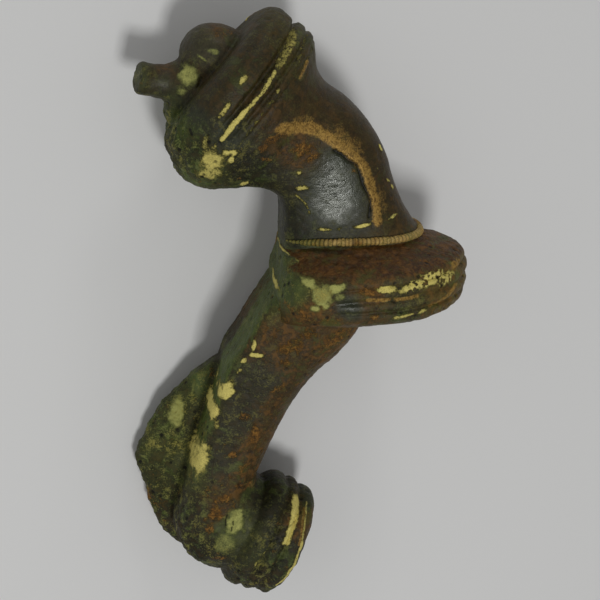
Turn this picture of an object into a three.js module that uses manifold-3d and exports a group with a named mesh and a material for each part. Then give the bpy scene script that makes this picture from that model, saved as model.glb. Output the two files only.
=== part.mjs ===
// A Roman strongly profiled bow brooch, cast in one piece of copper alloy. Its spring and pin are
// lost. Lengths are in millimetres. The brooch is worked out in a profile frame of its own: +X to
// the front of the bow, +Y to the head, +Z to the side that will lie uppermost, and z = 0 through
// the middle. At the end it is laid down on its rims: the head plate's, the disc's and the knob's.
import * as THREE from "three";
import { mergeVertices } from "three/addons/utils/BufferGeometryUtils.js";
import Module from "manifold-3d";

const wasm = await Module();
wasm.setup();

const { PI, abs, atan2, cos, hypot, max, min, round, sign, sin } = Math;
const { degToRad, lerp, smoothstep } = THREE.MathUtils;

// ---- Driving dimensions -------------------------------------------------------------------

// The head: the middle of its flat outer face, and the way its axis runs into the bow.
const headFace = { x: -8.6, y: 23.3, axisDegrees: -40.9 };

// A point of the profile, by its distance behind the outer face and its offset from the axis.
function headPoint(along, across) {
  const axis = degToRad(headFace.axisDegrees);
  return [
    headFace.x + along * cos(axis) - across * sin(axis),
    headFace.y + along * sin(axis) + across * cos(axis),
  ];
}

// Each station of a bar is the front of its profile, the back of it, its half width, and the
// powers of the section's front and back halves: 2 is round, 5 or more is flat with sharp edges.
const headStation = (along, front, back, ...rest) => [
  headPoint(along, front), headPoint(along, back), ...rest,
];
const upperBow = {
  stations: [
    headStation(0.0, 6.7, -5.4, 5.2, 1.8, 2.2), // flat outer face of the head plate
    headStation(0.4, 7.8, -6.9, 6.4, 1.8, 2.2),
    headStation(1.3, 8.6, -8.1, 7.4, 1.8, 2.2), // crest of its rim
    headStation(3.1, 8.7, -9.2, 7.6, 1.9, 2.3),
    headStation(5.2, 8.8, -9.5, 7.4, 2, 2.4), // last of the head's mouldings
    headStation(6.4, 7.9, -9.1, 7.0, 2, 2.5),
    [[1.6, 23.4], [-7.4, 12.2], 6.4, 2.1, 2.8],
    [[2.4, 22.0], [-5.8, 12.4], 5.8, 2.2, 3.5], // throat
    [[4.4, 20.5], [-4.0, 12.35], 5.3, 2.4, 4.5],
    [[6.6, 18.1], [-2.6, 11.7], 4.9, 2.4, 5],
    [[8.2, 15.3], [-2.1, 10.6], 4.7, 2.4, 5], // knee
    [[9.0, 12.7], [-2.0, 9.4], 4.6, 2.4, 5],
    [[9.9, 10.4], [-2.0, 8.6], 4.6, 2.4, 5],
    [[11.0, 8.4], [-2.0, 7.8], 4.7, 2.4, 5],
    [[11.7, 7.3], [-2.0, 7.4], 4.8, 2.4, 5], // collar
    [[11.8, 4.6], [-2.0, 4.4], 4.8, 2.4, 5], // inside the disc
  ],
  around: 32,
  rings: 15, // along the bare bow
};
const collarPlace = 14;

// Grooves between the head's mouldings: the station where each lies, its width and its depth.
const headGrooves = [
  { at: 3.06, wide: 0.42, deep: 0.6 },
  { at: 3.72, wide: 0.34, deep: 0.42 },
  { at: 4.32, wide: 0.3, deep: 0.28 },
];
const headFade = { from: 88, to: 112 }; // degrees round from the front

const disc = {
  stations: [
    [[11.4, 8.0], [-1.6, 7.6], 4.4, 2, 4], // inside the upper bow
    [[12.2, 6.8], [-2.0, 6.7], 5.0, 2, 4], // foot of the collar
    [[15.9, 5.4], [-2.4, 4.1], 8.8, 2, 4], // upper edge of the rim
    [[16.4, 4.6], [-2.7, 3.3], 9.0, 2, 4],
    [[16.5, 1.9], [-2.9, 1.3], 9.0, 2, 4],
    [[15.7, 0.4], [-2.8, 0.2], 8.6, 2, 4], // lower edge of the rim
    [[7.0, -1.6], [-3.4, -0.6], 5.2, 2, 4], // root of the lower bow
    [[3.0, -2.6], [-3.0, -1.2], 3.6, 2, 4], // inside the lower bow
  ],
  around: 40,
};
const rimGrooves = [
  { at: 3.0, wide: 0.34, deep: 0.35 },
  { at: 3.56, wide: 0.36, deep: 0.32 },
  { at: 4.08, wide: 0.36, deep: 0.34 },
];
const rimFade = { from: 80, to: 112 }; // degrees round from the front

const lowerBow = {
  stations: [
    [[7.0, 0.2], [-2.0, 3.4], 5.2, 2.3, 9], // inside the disc
    [[5.8, -2.6], [-3.4, 1.3], 5.4, 2.3, 9],
    [[4.3, -4.6], [-4.7, -0.6], 5.4, 2.3, 9],
    [[1.9, -6.7], [-6.1, -3.0], 5.3, 2.3, 9],
    [[-0.2, -9.2], [-7.6, -5.2], 5.1, 2.3, 9],
    [[-1.6, -11.7], [-8.6, -8.2], 4.7, 2.3, 7],
    [[-2.9, -14.3], [-9.8, -11.4], 4.5, 2.3, 5],
    [[-4.0, -16.9], [-11.0, -15.2], 4.4, 2.3, 4],
    [[-4.6, -18.3], [-12.2, -19.5], 4.5, 2.3, 3],
    [[-4.6, -18.6], [-13.2, -23.4], 4.6, 2.3, 2.6], // heel
    [[-4.6, -18.8], [-11.9, -27.0], 4.7, 2.2, 2.4],
    [[-4.5, -18.9], [-9.8, -28.6], 4.8, 2.1, 2.2],
    [[-4.2, -19.2], [-7.6, -28.9], 4.8, 2, 2.1], // neck of the knob
    [[-3.4, -20.2], [-6.6, -27.6], 4.6, 2, 2], // inside the knob
  ],
  around: 24,
  rings: 22,
};

// The catchplate: a thick flange that stands on the far half of the lower bow's back.
const catchplate = {
  stations: [
    [[-6.8, -5.8], [-8.8, -6.6], 0.9, 3, 2.6],
    [[-7.0, -7.6], [-11.9, -8.9], 1.2, 3, 2.6],
    [[-7.4, -9.2], [-14.2, -11.5], 1.4, 3, 2.6],
    [[-7.8, -12.0], [-15.7, -14.2], 1.5, 3, 2.6],
    [[-8.4, -15.0], [-16.9, -17.1], 1.5, 3, 2.6],
    [[-8.8, -18.0], [-16.1, -20.3], 1.5, 3, 2.6],
    [[-9.0, -20.5], [-15.4, -23.4], 1.5, 3, 2.6],
    [[-9.0, -22.5], [-14.1, -25.8], 1.5, 3, 2.5],
    [[-8.6, -24.0], [-12.1, -27.6], 1.5, 3, 2.4],
    [[-8.4, -25.0], [-10.5, -28.0], 1.4, 3, 2.3],
  ],
  aside: -1.9,
  around: 16,
  rings: 16,
};

// The gutter for the pin, a channel along the far side of the catchplate near its edge.
const gutter = {
  stations: [
    [[-11.9, -10.3], [-13.2, -11.2], 1.1, 2, 2],
    [[-13.3, -14.2], [-14.9, -14.8], 1.1, 2, 2],
    [[-13.5, -18.8], [-15.1, -19.4], 1.1, 2, 2],
    [[-12.6, -23.2], [-14.0, -24.2], 1.1, 2, 2],
  ],
  aside: -3.6,
  around: 10,
  rings: 6,
};

// The foot knob: a turned form, flattened a little from side to side.
const knob = {
  centre: [-4.9, -24.9],
  axisDegrees: -26.6,
  flattening: 0.9,
  // distance along the axis and radius
  profile: [
    [-2.6, 0], [-2.4, 4.4], [-1.75, 4.7], [-1.2, 5.6], [-0.5, 6.3], [0.4, 6.4], [0.85, 6.2],
    [1.02, 5.8], [1.2, 6.2], [1.7, 6.35], [2.2, 6.15], [2.42, 5.55], [2.7, 5.95], [3.3, 6.1],
    [3.9, 5.95], [4.4, 5.4], [4.65, 4.1], [4.75, 0],
  ],
  around: 32,
};

// The boss that held the spring, on the head's outer face, and the stump that is left beside it.
const boss = {
  dome: { up: 1.1, height: 3.85, length: 3.4, halfWidth: 3.4 },
  bed: { up: -1.9, height: 2.0, length: 4.6, halfWidth: 2.9 },
  sunk: 0.1, // their widest sections lie this far under the head's face, so nothing overhangs it
  around: 16,
  rings: 10,
};
const stump = {
  root: [-11.2, 21.9, 0.2],
  end: [-15.4, 22.95, 1.5],
  // distance from the end and radius
  profile: [
    [0, 0], [0, 1.3], [0.25, 1.55], [1.6, 1.5], [2.6, 1.65], [3.6, 2.2], [4.8, 3.2], [5.2, 0],
  ],
  around: 12,
};

// The beaded collar: a string of beads round the foot of the upper bow that dies out behind.
const collar = {
  beads: 76,
  radius: 0.36,
  pinch: 0.1, // how much thinner the string is between two beads
  proud: 0.12, // how far its middle stands off the bow
  reachDegrees: 150, // round from the front, to either side
  fading: 8, // beads at each end that grow smaller
  tip: 0.1, // radius where it ends
  sides: 5,
};

// How near to straight down a side of the brooch must face for the brooch to be laid on it.
const farSideShare = 0.8;

// ---- Tools --------------------------------------------------------------------------------

const range = (from, to, steps) =>
  Array.from({ length: steps + 1 }, (_, i) => lerp(from, to, i / steps));

// A closed geometry as a solid, with its shared vertices merged.
function solidFrom(geometry) {
  const bare = geometry.clone();
  bare.deleteAttribute("normal");
  bare.deleteAttribute("uv");
  const merged = mergeVertices(bare, 1e-3);
  return new wasm.Manifold(
    new wasm.Mesh({
      numProp: 3,
      vertProperties: merged.attributes.position.array,
      triVerts: new Uint32Array(merged.index.array),
    }),
  );
}

// A smooth curve through points of the profile plane, read by the number of the point.
function lineThrough(points) {
  const curve = new THREE.CatmullRomCurve3(
    points.map(([x, y]) => new THREE.Vector3(x, y, 0)),
    false,
    "centripetal",
  );
  return (place) => curve.getPoint(place / (points.length - 1));
}

// The surface of a bar: the point at a place along it and an angle from the front of its
// section, standing out by grow.
function surfaceOf({ stations, aside = 0 }) {
  const front = lineThrough(stations.map(([point]) => point));
  const back = lineThrough(stations.map(([, point]) => point));
  const half = lineThrough(stations.map(([, , width], i) => [i, width]));
  const powers = lineThrough(stations.map(([, , , ...pair]) => pair));
  return (place, angle, grow = 0, share = 1) => {
    const a = front(place);
    const b = back(place);
    const power = 2 / (cos(angle) > 0 ? powers(place).x : powers(place).y);
    const forward = sign(cos(angle)) * abs(cos(angle)) ** power;
    const sideways = sign(sin(angle)) * abs(sin(angle)) ** power;
    const point = a.clone().add(b).multiplyScalar(0.5);
    const reach = a.distanceTo(b) / 2 + grow;
    point.addScaledVector(a.sub(b).normalize(), share * forward * reach);
    point.z = aside + share * sideways * (half(place).y + grow);
    return point;
  };
}

// The angle of a column of vertices, rounded so that both copies of the seam's column agree.
const columnAngle = (y, x) => round(atan2(y, x) * 1e6) / 1e6;

// Sweeps a bar's section through the places given. relief tells how far the surface stands out
// at a place and an angle.
function sweptBar(bar, places, relief = () => 0) {
  const surface = surfaceOf(bar);
  const geometry = new THREE.CylinderGeometry(1, 1, 1, bar.around, places.length - 1);
  const vertices = geometry.attributes.position;
  for (let i = 0; i < vertices.count; i++) {
    const place = places[round((0.5 - vertices.getY(i)) * (places.length - 1))];
    const angle = columnAngle(vertices.getZ(i), vertices.getX(i));
    const share = min(1, hypot(vertices.getX(i), vertices.getZ(i)));
    const point = surface(place, angle, relief(place, abs(angle)), share);
    vertices.setXYZ(i, point.x, point.y, point.z);
  }
  return solidFrom(geometry);
}

// How deep the deepest of some grooves is at a place and an angle.
function grooveDepth(grooves, fade, place, angle) {
  const depths = grooves.map(({ at, wide, deep }) => {
    const off = min(1, abs(place - at) / (wide / 2));
    return (deep * (1 + cos(PI * off))) / 2;
  });
  return max(...depths) * (1 - smoothstep(angle, degToRad(fade.from), degToRad(fade.to)));
}

// Places for the sections of a moulded stretch: three across each groove, one on each ridge.
function mouldedPlaces(grooves, from, to) {
  const cuts = grooves.flatMap(({ at, wide }) => [at - wide / 2, at, at + wide / 2]);
  return [from, ...cuts, to];
}

// ---- Pieces -------------------------------------------------------------------------------

function upperBowSolid() {
  const places = [
    ...range(0, 2, 4),
    ...mouldedPlaces(headGrooves, 2.5, 4.8),
    ...range(5.2, upperBow.stations.length - 1, upperBow.rings),
  ];
  return sweptBar(upperBow, places, (place, angle) =>
    -grooveDepth(headGrooves, headFade, place, angle),
  );
}

function discSolid() {
  const places = [
    ...range(0, 2, 4),
    2.5,
    ...mouldedPlaces(rimGrooves, 2.75, 4.5),
    ...range(5, 7, 2),
  ];
  return sweptBar(disc, places, (place, angle) =>
    -grooveDepth(rimGrooves, rimFade, place, angle),
  );
}

function lowerBowSolid() {
  return sweptBar(lowerBow, range(0, lowerBow.stations.length - 1, lowerBow.rings));
}

function knobSolid() {
  const profile = knob.profile.map(([along, radius]) => new THREE.Vector2(radius, along));
  const geometry = new THREE.LatheGeometry(profile, knob.around);
  geometry.scale(1, 1, knob.flattening);
  geometry.rotateZ(degToRad(knob.axisDegrees - 90));
  geometry.translate(...knob.centre, 0);
  return solidFrom(geometry);
}

function catchplateSolid() {
  const flange = sweptBar(catchplate, range(0, catchplate.stations.length - 1, catchplate.rings));
  return flange.subtract(sweptBar(gutter, range(0, gutter.stations.length - 1, gutter.rings)));
}

// Puts a geometry made round +Y into the head's frame: +Y becomes the outward axis.
function placeOnHead(geometry, along, up) {
  geometry.rotateZ(degToRad(headFace.axisDegrees) + PI / 2);
  return geometry.translate(...headPoint(along, up), 0);
}

function bossSolid() {
  const [dome, bed] = [boss.dome, boss.bed].map(({ up, height, length, halfWidth }) => {
    const ball = new THREE.SphereGeometry(1, boss.around, boss.rings);
    ball.scale(length, height, halfWidth);
    return solidFrom(placeOnHead(ball, boss.sunk, up));
  });
  return dome.add(bed);
}

function stumpSolid() {
  const root = new THREE.Vector3(...stump.root);
  const end = new THREE.Vector3(...stump.end);
  const profile = stump.profile.map(([along, radius]) => new THREE.Vector2(radius, along));
  const geometry = new THREE.LatheGeometry(profile, stump.around);
  const turn = new THREE.Quaternion().setFromUnitVectors(
    new THREE.Vector3(0, 1, 0),
    root.clone().sub(end).normalize(),
  );
  geometry.applyQuaternion(turn);
  geometry.translate(end.x, end.y, end.z);
  return solidFrom(geometry);
}

// The angles that part a section's outline into equal steps, from one end of the collar to the
// other.
function evenAngles(surface, reach, steps) {
  const fine = range(-reach, reach, steps * 6);
  const points = fine.map((angle) => surface(collarPlace, angle, collar.proud));
  const lengths = [0];
  for (let i = 1; i < points.length; i++)
    lengths.push(lengths[i - 1] + points[i].distanceTo(points[i - 1]));
  return range(0, lengths.at(-1), steps).map((target) => {
    const i = max(1, lengths.findIndex((length) => length >= target));
    const share = (target - lengths[i - 1]) / (lengths[i] - lengths[i - 1]);
    return lerp(fine[i - 1], fine[i], min(1, share));
  });
}

function collarSolid() {
  const surface = surfaceOf(upperBow);
  const steps = collar.beads * 2;
  const angles = evenAngles(surface, degToRad(collar.reachDegrees), steps);
  const geometry = new THREE.CylinderGeometry(1, 1, 1, collar.sides, steps);
  const vertices = geometry.attributes.position;
  for (let i = 0; i < vertices.count; i++) {
    const step = round((0.5 + vertices.getY(i)) * steps);
    const grown = smoothstep(min(step, steps - step), 0, collar.fading * 2);
    const radius = lerp(collar.tip, collar.radius, grown) - (step % 2) * collar.pinch;
    const out = radius * vertices.getX(i);
    const point = surface(collarPlace, angles[step], collar.proud + out);
    vertices.setXYZ(i, point.x, point.y - radius * vertices.getZ(i), point.z);
  }
  return solidFrom(geometry);
}

// ---- The finished brooch ------------------------------------------------------------------

function geometryOf(solid) {
  const mesh = solid.getMesh();
  const geometry = new THREE.BufferGeometry();
  geometry.setAttribute("position", new THREE.BufferAttribute(mesh.vertProperties, 3));
  geometry.setIndex(new THREE.BufferAttribute(mesh.triVerts, 1));
  return geometry.toNonIndexed();
}

function trianglesOf(solid) {
  const corners = geometryOf(solid).attributes.position;
  return Array.from({ length: corners.count / 3 }, (_, i) =>
    new THREE.Triangle().setFromAttributeAndIndices(corners, 3 * i, 3 * i + 1, 3 * i + 2),
  );
}

function centreOfMass(solid) {
  const sum = new THREE.Vector3();
  for (const { a, b, c } of trianglesOf(solid)) {
    const share = a.dot(b.clone().cross(c)) / 6;
    sum.addScaledVector(a.clone().add(b).add(c), share / 4);
  }
  return sum.divideScalar(solid.volume());
}

// The turn that lays a solid on its far side: the facet of its convex hull that faces away from
// +Z with the centre of mass over it comes to face straight down.
function layingTurn(solid) {
  const centre = centreOfMass(solid);
  const normal = new THREE.Vector3();
  const facet = trianglesOf(solid.hull()).find(
    (triangle) => triangle.getNormal(normal).z < -farSideShare && triangle.containsPoint(centre),
  );
  const down = new THREE.Vector3(0, 0, -1);
  return new THREE.Quaternion().setFromUnitVectors(facet.getNormal(normal), down);
}

const solid = [
  upperBowSolid(),
  discSolid(),
  lowerBowSolid(),
  knobSolid(),
  catchplateSolid(),
  bossSolid(),
  stumpSolid(),
  collarSolid(),
].reduce((whole, piece) => whole.add(piece));

// Laid down, with the middle of its bounding box's underside at the origin.
const geometry = geometryOf(solid).applyQuaternion(layingTurn(solid));
geometry.computeBoundingBox();
const middle = geometry.boundingBox.getCenter(new THREE.Vector3());
geometry.translate(-middle.x, -middle.y, -geometry.boundingBox.min.z);
geometry.computeVertexNormals();

const bronze = new THREE.MeshStandardMaterial({ color: 0x3b3a2e, roughness: 0.5, metalness: 0.6 });
const brooch = new THREE.Mesh(geometry, bronze);
brooch.name = "cast_brooch";
const group = new THREE.Group();
group.add(brooch);
export default group;
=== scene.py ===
from math import pi, radians

import bpy
import numpy as np
from mathutils import Matrix, Vector


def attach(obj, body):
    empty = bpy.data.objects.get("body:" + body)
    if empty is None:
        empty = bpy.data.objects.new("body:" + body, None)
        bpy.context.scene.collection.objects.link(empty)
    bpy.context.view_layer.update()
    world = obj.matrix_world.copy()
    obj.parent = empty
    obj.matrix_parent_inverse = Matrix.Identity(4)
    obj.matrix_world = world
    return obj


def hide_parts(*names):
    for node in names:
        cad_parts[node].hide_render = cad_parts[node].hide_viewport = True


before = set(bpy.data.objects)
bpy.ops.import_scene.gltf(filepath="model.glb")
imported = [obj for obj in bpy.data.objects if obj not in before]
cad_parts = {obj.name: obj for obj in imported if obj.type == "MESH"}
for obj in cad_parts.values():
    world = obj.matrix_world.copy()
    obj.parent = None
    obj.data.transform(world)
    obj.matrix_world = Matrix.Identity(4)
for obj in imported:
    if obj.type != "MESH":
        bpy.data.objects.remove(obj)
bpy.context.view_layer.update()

# Everything is shaped in the brooch's own profile frame, in millimetres: x to the front of the
# bow, y to the head, z to the side that lies uppermost. Then it is laid down as the solid is.
laid = {
    "down": (-0.2350, -0.0517, -0.9706),  # what faces the ground
    "shift": (-0.2325, 1.4465, 8.1165),
}
layDown = (
    Matrix.Scale(0.001, 4)
    @ Matrix.Translation(laid["shift"])
    @ Vector(laid["down"]).rotation_difference(Vector((0, 0, -1))).to_matrix().to_4x4()
)


# Curves and noise

def smooth(low, high, value):
    share = np.clip((value - low) / (high - low), 0, 1)
    return share * share * (3 - 2 * share)


def lineThrough(points):  # a centripetal curve, read by the number of the point
    points = np.array(points, float)
    padded = np.vstack([2 * points[0] - points[1], points, 2 * points[-1] - points[-2]])
    gaps = np.maximum(np.linalg.norm(np.diff(padded, axis=0), axis=1), 1e-6) ** 0.5

    def at(place):
        first = np.clip(np.floor(place).astype(int), 0, len(points) - 2)
        t = (place - first)[:, None]
        a, b, c, d = (padded[first + k] for k in range(4))
        before, span, after = (gaps[first + k][:, None] for k in range(3))
        leave = ((b - a) / before - (c - a) / (before + span) + (c - b) / span) * span
        reach = ((c - b) / span - (d - b) / (span + after) + (d - c) / after) * span
        bend = 3 * (c - b) - 2 * leave - reach
        return b + leave * t + bend * t**2 + (2 * (b - c) + leave + reach) * t**3

    return at


def latticeValue(cell, seed):
    mixed = cell.astype(np.uint32) * np.array([73856093, 19349663, 83492791], np.uint32)
    value = mixed[:, 0] ^ mixed[:, 1] ^ mixed[:, 2] ^ np.uint32(seed * 2654435761 % 2**32)
    value = (value ^ (value >> np.uint32(15))) * np.uint32(2246822519)
    value = (value ^ (value >> np.uint32(13))) * np.uint32(3266489917)
    return ((value ^ (value >> np.uint32(16))) & np.uint32(65535)) / 65535


def cloud(points, size, seed=0, octaves=3):  # soft noise from -1 to 1
    total = np.zeros(len(points))
    for octave in range(octaves):
        scaled = points * (2**octave / size) + 37.7 * octave + 500
        cell = np.floor(scaled).astype(np.int64)
        share = scaled - cell
        share = share * share * (3 - 2 * share)
        for corner in np.ndindex(2, 2, 2):
            weight = np.prod(np.where(corner, share, 1 - share), axis=1)
            value = latticeValue(cell + np.array(corner), seed + octave)
            total += (2 * value - 1) * weight / 2**octave
    return total / 1.4


def cells(points, size, seed=0):  # how far the nearest scattered dot is, and a number for the dot
    scaled = points / size + 500
    cell = np.floor(scaled).astype(np.int64)
    nearest = np.full(len(points), 9.0)
    number = np.zeros(len(points))
    for step in np.ndindex(3, 3, 3):
        there = cell + np.array(step) - 1
        dot = there + np.stack([latticeValue(there, seed + k) for k in range(3)], axis=1)
        away = np.linalg.norm(scaled - dot, axis=1)
        closer = away < nearest
        nearest = np.where(closer, away, nearest)
        number = np.where(closer, latticeValue(there, seed + 3), number)
    return nearest, number


# Shapes

def bareSelection():
    bpy.ops.object.select_all(action="DESELECT")


def verticesOf(piece):
    flat = np.empty(len(piece.data.vertices) * 3)
    piece.data.vertices.foreach_get("co", flat)
    return flat.reshape(-1, 3)


def normalsOf(piece):
    flat = np.empty(len(piece.data.vertices) * 3)
    piece.data.vertices.foreach_get("normal", flat)
    return flat.reshape(-1, 3)


def setVertices(piece, points):
    piece.data.vertices.foreach_set("co", points.ravel())
    piece.data.update()


def outwards(piece):
    bareSelection()
    piece.select_set(True)
    bpy.context.view_layer.objects.active = piece
    bpy.ops.object.mode_set(mode="EDIT")
    bpy.ops.mesh.select_all(action="SELECT")
    bpy.ops.mesh.normals_make_consistent(inside=False)
    bpy.ops.object.mode_set(mode="OBJECT")
    return piece


# A ball whose rings are moved to the rows given: each row is a place and how full the ring is.
def ballThroughRows(name, around, rows, pointAt):
    bareSelection()
    bpy.ops.mesh.primitive_uv_sphere_add(segments=around, ring_count=len(rows) + 1)
    piece = bpy.context.active_object
    piece.name = name
    ball = verticesOf(piece)
    ring = np.rint(np.arccos(np.clip(ball[:, 2], -1, 1)) * (len(rows) + 1) / pi).astype(int)
    angle = np.arctan2(ball[:, 1], ball[:, 0])
    ends = [(rows[0][0], 0)] + list(rows) + [(rows[-1][0], 0)]
    place, share = np.array(ends, float)[ring].T
    setVertices(piece, pointAt(place, angle, share))
    return outwards(piece)


def surfaceOf(bar):
    stations = bar["stations"]
    front = lineThrough([station[0] for station in stations])
    back = lineThrough([station[1] for station in stations])
    half = lineThrough([(number, station[2]) for number, station in enumerate(stations)])
    numbers = np.arange(len(stations))
    frontPower = [station[3] for station in stations]
    backPower = [station[4] for station in stations]

    def at(place, angle, grow=0, share=1):
        ahead = front(place)
        behind = back(place)
        length = np.linalg.norm(ahead - behind, axis=1)
        power = 2 / np.where(
            np.cos(angle) > 0,
            np.interp(place, numbers, frontPower),
            np.interp(place, numbers, backPower),
        )
        forward = np.sign(np.cos(angle)) * np.abs(np.cos(angle)) ** power
        sideways = np.sign(np.sin(angle)) * np.abs(np.sin(angle)) ** power
        reach = share * forward * (length / 2 + grow)
        flat = (ahead + behind) / 2 + (ahead - behind) / length[:, None] * reach[:, None]
        aside = bar.get("aside", 0) + share * sideways * (half(place)[:, 1] + grow)
        return np.column_stack([flat, aside])

    return at


def sweptBar(name, bar, relief=None):
    surface = surfaceOf(bar)
    last = len(bar["stations"]) - 1
    places = np.linspace(0, last, bar["rings"])
    rows = [(0, 0.35), (0, 0.7)] + [(place, 1) for place in places] + [(last, 0.7), (last, 0.35)]

    def pointAt(place, angle, share):
        grow = relief(place, np.abs(angle)) if relief else 0
        return surface(place, angle, grow, share)

    return ballThroughRows(name, bar["around"], rows, pointAt)


def grooveDepth(grooves, fade, place, angle):
    depth = 0
    for at, wide, deep in grooves:
        off = np.clip(np.abs(place - at) / (wide / 2), 0, 1)
        depth = np.maximum(depth, deep * (1 + np.cos(pi * off)) / 2)
    return depth * (1 - smooth(radians(fade[0]), radians(fade[1]), angle))


def turnedKnob(name, knob):
    profile = lineThrough(knob["profile"])
    last = len(knob["profile"]) - 1
    places = np.linspace(0, last, knob["rings"])[1:-1]
    axis = radians(knob["axisDegrees"])

    def pointAt(place, angle, share):
        along, radius = profile(place).T
        radius = np.maximum(radius, 0) * share
        across = radius * np.cos(angle)
        return np.column_stack([
            knob["centre"][0] + along * np.cos(axis) - across * np.sin(axis),
            knob["centre"][1] + along * np.sin(axis) + across * np.cos(axis),
            knob["flattening"] * radius * np.sin(angle),
        ])

    return ballThroughRows(name, knob["around"], [(place, 1) for place in places], pointAt)


def cut(piece, tool):
    bareSelection()
    bpy.context.view_layer.objects.active = piece
    piece.select_set(True)
    bpy.ops.object.modifier_add(type="BOOLEAN")
    piece.modifiers[-1].operation = "DIFFERENCE"
    piece.modifiers[-1].object = tool
    bpy.ops.object.modifier_apply(modifier=piece.modifiers[-1].name)
    bpy.data.objects.remove(tool)
    return piece


# Joins closed shapes that run into each other to one skin of small faces.
def oneSkin(name, shapes, grain):
    bareSelection()
    for shape in shapes:
        shape.select_set(True)
    bpy.context.view_layer.objects.active = shapes[0]
    bpy.ops.object.join()
    piece = shapes[0]
    piece.name = name
    bpy.ops.object.modifier_add(type="REMESH")
    piece.modifiers[-1].mode = "VOXEL"
    piece.modifiers[-1].voxel_size = grain
    bpy.ops.object.modifier_apply(modifier=piece.modifiers[-1].name)
    bpy.ops.object.modifier_add(type="SMOOTH")
    piece.modifiers[-1].factor = 0.5
    piece.modifiers[-1].iterations = 2
    bpy.ops.object.modifier_apply(modifier=piece.modifiers[-1].name)
    return piece


# The head: its plate and mouldings, the upper bow, the boss of the spring and the stump on it

headFace = {"middle": (-8.6, 23.3), "axisDegrees": -40.9}


def headPoint(along, across):
    axis = radians(headFace["axisDegrees"])
    x = headFace["middle"][0] + along * np.cos(axis) - across * np.sin(axis)
    y = headFace["middle"][1] + along * np.sin(axis) + across * np.cos(axis)
    return (x, y)


def headStation(along, front, back, *rest):
    return (headPoint(along, front), headPoint(along, back), *rest)


upperBow = {
    "stations": [  # front, back, half width, powers of the front and the back half
        headStation(0.0, 6.7, -5.4, 5.2, 1.8, 2.2),
        headStation(0.4, 7.8, -6.9, 6.4, 1.8, 2.2),
        headStation(1.3, 8.6, -8.1, 7.4, 1.8, 2.2),
        headStation(3.1, 8.7, -9.2, 7.6, 1.9, 2.3),
        headStation(5.2, 8.8, -9.5, 7.4, 2, 2.4),
        headStation(6.4, 7.9, -9.1, 7.0, 2, 2.5),
        ((1.6, 23.4), (-7.4, 12.2), 6.4, 2.1, 2.8),
        ((2.4, 22.0), (-5.8, 12.4), 5.8, 2.2, 3.5),
        ((4.4, 20.5), (-4.0, 12.35), 5.3, 2.4, 4.5),
        ((6.6, 18.1), (-2.6, 11.7), 4.9, 2.4, 5),
        ((8.2, 15.3), (-2.1, 10.6), 4.7, 2.4, 5),
        ((9.0, 12.7), (-2.0, 9.4), 4.6, 2.4, 5),
        ((9.9, 10.4), (-2.0, 8.6), 4.6, 2.4, 5),
        ((11.0, 8.4), (-2.0, 7.8), 4.7, 2.4, 5),
        ((11.7, 7.3), (-2.0, 7.4), 4.8, 2.4, 5),
        ((11.8, 4.6), (-2.0, 4.4), 4.8, 2.4, 5),
    ],
    "around": 160,
    "rings": 200,
    "grooves": [(3.06, 0.42, 0.6), (3.72, 0.34, 0.42), (4.32, 0.3, 0.28)],
    "grooveFade": (88, 112),
}
boss = {
    "sunk": 0.1,
    "dome": {"up": 1.1, "size": (3.4, 3.85, 3.4)},
    "bed": {"up": -1.9, "size": (4.6, 2.0, 2.9)},
}
stump = {
    "root": (-11.2, 21.9, 0.2),
    "end": (-15.4, 22.95, 1.5),
    "profile": [(0, 0), (0, 1.3), (0.25, 1.55), (1.6, 1.5), (2.6, 1.65), (3.6, 2.2), (4.8, 3.2), (5.2, 0)],
}


def makeBoss():
    shapes = []
    turn = radians(headFace["axisDegrees"]) + pi / 2
    for part in (boss["dome"], boss["bed"]):
        bareSelection()
        middle = (*headPoint(boss["sunk"], part["up"]), 0)
        bpy.ops.mesh.primitive_uv_sphere_add(
            segments=80, ring_count=60, location=middle, rotation=(0, 0, turn)
        )
        bpy.context.active_object.scale = part["size"]
        bpy.ops.object.transform_apply(location=True, rotation=True, scale=True)
        shapes.append(bpy.context.active_object)
    return shapes


def makeStump():
    root = np.array(stump["root"])
    end = np.array(stump["end"])
    axis = (root - end) / np.linalg.norm(root - end)
    side = np.cross(axis, (0, 0, 1))
    side /= np.linalg.norm(side)
    third = np.cross(axis, side)
    numbers = np.arange(len(stump["profile"]))
    along, radius = np.array(stump["profile"]).T
    places = np.linspace(0, len(numbers) - 1, 50)[1:-1]

    def pointAt(place, angle, share):
        reach = np.interp(place, numbers, radius)[:, None] * share[:, None]
        return (
            end
            + axis * np.interp(place, numbers, along)[:, None]
            + side * reach * np.cos(angle)[:, None]
            + third * reach * np.sin(angle)[:, None]
        )

    return ballThroughRows("stump", 48, [(place, 1) for place in places], pointAt)


def headGrooves(place, angle):
    return -grooveDepth(upperBow["grooves"], upperBow["grooveFade"], place, angle)


# The disc

disc = {
    "stations": [
        ((11.4, 8.0), (-1.6, 7.6), 4.4, 2, 4),
        ((12.2, 6.8), (-2.0, 6.7), 5.0, 2, 4),
        ((15.9, 5.4), (-2.4, 4.1), 8.8, 2, 4),
        ((16.4, 4.6), (-2.7, 3.3), 9.0, 2, 4),
        ((16.5, 1.9), (-2.9, 1.3), 9.0, 2, 4),
        ((15.7, 0.4), (-2.8, 0.2), 8.6, 2, 4),
        ((7.0, -1.6), (-3.4, -0.6), 5.2, 2, 4),
        ((3.0, -2.6), (-3.0, -1.2), 3.6, 2, 4),
    ],
    "around": 200,
    "rings": 150,
    "grooves": [(3.0, 0.34, 0.35), (3.56, 0.36, 0.32), (4.08, 0.36, 0.34)],
    "grooveFade": (80, 112),
}


def rimGrooves(place, angle):
    return -grooveDepth(disc["grooves"], disc["grooveFade"], place, angle)


# The foot: the lower bow, the catchplate with its gutter, and the knob

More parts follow.
